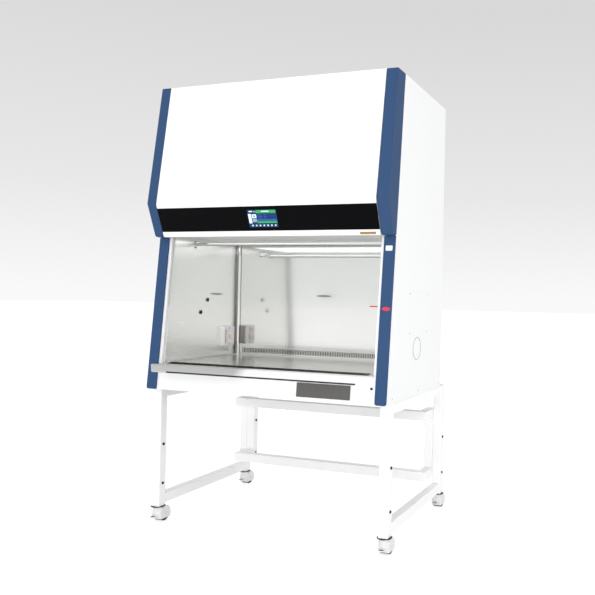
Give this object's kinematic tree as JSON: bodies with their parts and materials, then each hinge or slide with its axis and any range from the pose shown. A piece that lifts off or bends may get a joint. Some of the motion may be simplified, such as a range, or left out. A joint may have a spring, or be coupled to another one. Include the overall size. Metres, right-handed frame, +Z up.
{
  "type": "biosafety cabinet on wheeled stand",
  "caption": "Class II biosafety cabinet with sloping hinged hood, sliding sash, stainless work chamber, armrest and tubular stand on braked swivel casters",
  "frame": {"origin": "on the floor, under the middle of the overall bounding box", "axes": "+X to the right as seen from the front, +Y to the back, +Z up; metres"},
  "size_m": [1.348, 1.015, 2.283],
  "materials": {
    "white_paint": "white powder coat, satin",
    "blue_paint": "mid blue powder coat, satin",
    "stainless": "fine brushed stainless steel",
    "black_plastic": "black moulded plastic",
    "screen_glass": "dark display glass",
    "sash_glass": "clear safety glass",
    "rail_plastic": "white low-friction plastic",
    "cover_plastic": "light grey moulded cover",
    "tread": "black caster tread",
    "bright_steel": "zinc plated steel",
    "stem_steel": "black coated steel",
    "black_rubber": "black rubber",
    "galvanised": "galvanised sheet steel",
    "cast_iron": "cast iron, primed",
    "filter_media": "pleated glass fibre in a light frame",
    "lamp_glass": "lamp tube glass",
    "brass": "plated brass"
  },
  "bodies": {
    "cabinet": {"access_panel": "white_paint", "armrest": "stainless", "back_panel": "white_paint", "base_pan": "stainless", "blower_motor": "cast_iron", "blower_plenum": "galvanised", "blower_scroll": "galvanised", "caster_stems": "stem_steel", "ceiling_diffuser": "stainless", "drain_valve": "brass", "exhaust_filter": "filter_media", "front_grille": "stainless", "front_plate": "stainless", "iv_bar": "stainless", "lift_cables": "bright_steel", "liner_left": "stainless", "liner_right": "stainless", "lower_front_panel": "white_paint", "lower_trims": "blue_paint", "outlet_box": "rail_plastic", "plugs": "black_rubber", "port_cover": "white_paint", "power_inlet": "black_plastic", "rear_frame": "white_paint", "rear_liner": "stainless", "sash_rails": "rail_plastic", "sheave_brackets": "bright_steel", "side_panel_left": "white_paint", "side_panel_right": "white_paint", "side_rails": "white_paint", "stand_bolts": "bright_steel", "stand_legs": "white_paint", "supply_filter": "filter_media", "top_panel": "white_paint", "upper_trims": "blue_paint", "uv_lamp": "lamp_glass", "work_lamp": "white_paint", "work_tray": "stainless"},
    "hood": {"hood_panel": "white_paint", "control_fascia": "black_plastic", "touchscreen": "screen_glass"},
    "sash": {"sash_glass": "sash_glass", "sash_grips": "black_plastic"},
    "weights": {"counterweights": "cast_iron"},
    "sheave_l": {"sheave_left": "rail_plastic"},
    "sheave_r": {"sheave_right": "rail_plastic"},
    "blower": {"blower_wheel": "galvanised"},
    "valve_lever": {"drain_lever": "black_plastic"},
    "swivel_front_left": {"caster_hood_front_left": "cover_plastic"},
    "wheel_front_left": {"caster_wheel_front_left": "tread"},
    "brake_front_left": {"caster_brake_front_left": "black_plastic"},
    "swivel_front_right": {"caster_hood_front_right": "cover_plastic"},
    "wheel_front_right": {"caster_wheel_front_right": "tread"},
    "brake_front_right": {"caster_brake_front_right": "black_plastic"},
    "swivel_rear_left": {"caster_hood_rear_left": "cover_plastic"},
    "wheel_rear_left": {"caster_wheel_rear_left": "tread"},
    "brake_rear_left": {"caster_brake_rear_left": "black_plastic"},
    "swivel_rear_right": {"caster_hood_rear_right": "cover_plastic"},
    "wheel_rear_right": {"caster_wheel_rear_right": "tread"},
    "brake_rear_right": {"caster_brake_rear_right": "black_plastic"}
  },
  "joints": [
    {"name": "sash_slide", "type": "slide", "parent": "cabinet", "child": "sash", "axis": [0, 0.0993, 0.9951], "range_m": [-0.302, 0.31], "deforming": ["lift_cables"]},
    {"name": "weight_slide", "type": "slide", "parent": "cabinet", "child": "weights", "axis": [0, 0, 1], "range_m": [-0.312, 0.304]},
    {"name": "sheave_l_turn", "type": "hinge", "parent": "cabinet", "child": "sheave_l", "pos_m": [-0.6205, -0.26485, 2.18651], "axis": [0, -0.9951, 0.0993], "range_deg": [-775, 795]},
    {"name": "sheave_r_turn", "type": "hinge", "parent": "cabinet", "child": "sheave_r", "pos_m": [0.6205, -0.26485, 2.18651], "axis": [0, -0.9951, 0.0993], "range_deg": [-795, 775]},
    {"name": "hood_hinge", "type": "hinge", "parent": "cabinet", "child": "hood", "pos_m": [0, -0.3222, 2.277], "axis": [-1, 0, 0], "range_deg": [0, 70]},
    {"name": "blower_spin", "type": "hinge", "parent": "cabinet", "child": "blower", "pos_m": [0, 0.0125, 1.888], "axis": [1, 0, 0], "continuous": true},
    {"name": "drain_lever_turn", "type": "hinge", "parent": "cabinet", "child": "valve_lever", "pos_m": [-0.52, 0.2315, 0.674], "axis": [0, 1, 0], "range_deg": [0, 90]},
    {"name": "swivel_front_left_turn", "type": "hinge", "parent": "cabinet", "child": "swivel_front_left", "pos_m": [-0.645, -0.3565, 0.07], "axis": [0, 0, 1], "continuous": true},
    {"name": "wheel_front_left_roll", "type": "hinge", "parent": "swivel_front_left", "child": "wheel_front_left", "pos_m": [-0.645, -0.3295, 0.0375], "axis": [1, 0, 0], "continuous": true},
    {"name": "brake_front_left_lift", "type": "hinge", "parent": "swivel_front_left", "child": "brake_front_left", "pos_m": [-0.645, -0.3775, 0.034], "axis": [-1, 0, 0], "range_deg": [0, 25]},
    {"name": "swivel_front_right_turn", "type": "hinge", "parent": "cabinet", "child": "swivel_front_right", "pos_m": [0.645, -0.3565, 0.07], "axis": [0, 0, 1], "continuous": true},
    {"name": "wheel_front_right_roll", "type": "hinge", "parent": "swivel_front_right", "child": "wheel_front_right", "pos_m": [0.645, -0.3295, 0.0375], "axis": [1, 0, 0], "continuous": true},
    {"name": "brake_front_right_lift", "type": "hinge", "parent": "swivel_front_right", "child": "brake_front_right", "pos_m": [0.645, -0.3775, 0.034], "axis": [-1, 0, 0], "range_deg": [0, 25]},
    {"name": "swivel_rear_left_turn", "type": "hinge", "parent": "cabinet", "child": "swivel_rear_left", "pos_m": [-0.645, 0.4375, 0.07], "axis": [0, 0, 1], "continuous": true},
    {"name": "wheel_rear_left_roll", "type": "hinge", "parent": "swivel_rear_left", "child": "wheel_rear_left", "pos_m": [-0.645, 0.4645, 0.0375], "axis": [1, 0, 0], "continuous": true},
    {"name": "brake_rear_left_lift", "type": "hinge", "parent": "swivel_rear_left", "child": "brake_rear_left", "pos_m": [-0.645, 0.4165, 0.034], "axis": [-1, 0, 0], "range_deg": [0, 25]},
    {"name": "swivel_rear_right_turn", "type": "hinge", "parent": "cabinet", "child": "swivel_rear_right", "pos_m": [0.645, 0.4375, 0.07], "axis": [0, 0, 1], "continuous": true},
    {"name": "wheel_rear_right_roll", "type": "hinge", "parent": "swivel_rear_right", "child": "wheel_rear_right", "pos_m": [0.645, 0.4645, 0.0375], "axis": [1, 0, 0], "continuous": true},
    {"name": "brake_rear_right_lift", "type": "hinge", "parent": "swivel_rear_right", "child": "brake_rear_right", "pos_m": [0.645, 0.4165, 0.034], "axis": [-1, 0, 0], "range_deg": [0, 25]}
  ],
  "couplings": [
    {"joint": "weight_slide", "follows": "sash_slide", "ratio": -1},
    {"joint": "sheave_l_turn", "follows": "sash_slide", "rad_per_m": 44.444},
    {"joint": "sheave_r_turn", "follows": "sash_slide", "rad_per_m": -44.444}
  ]
}
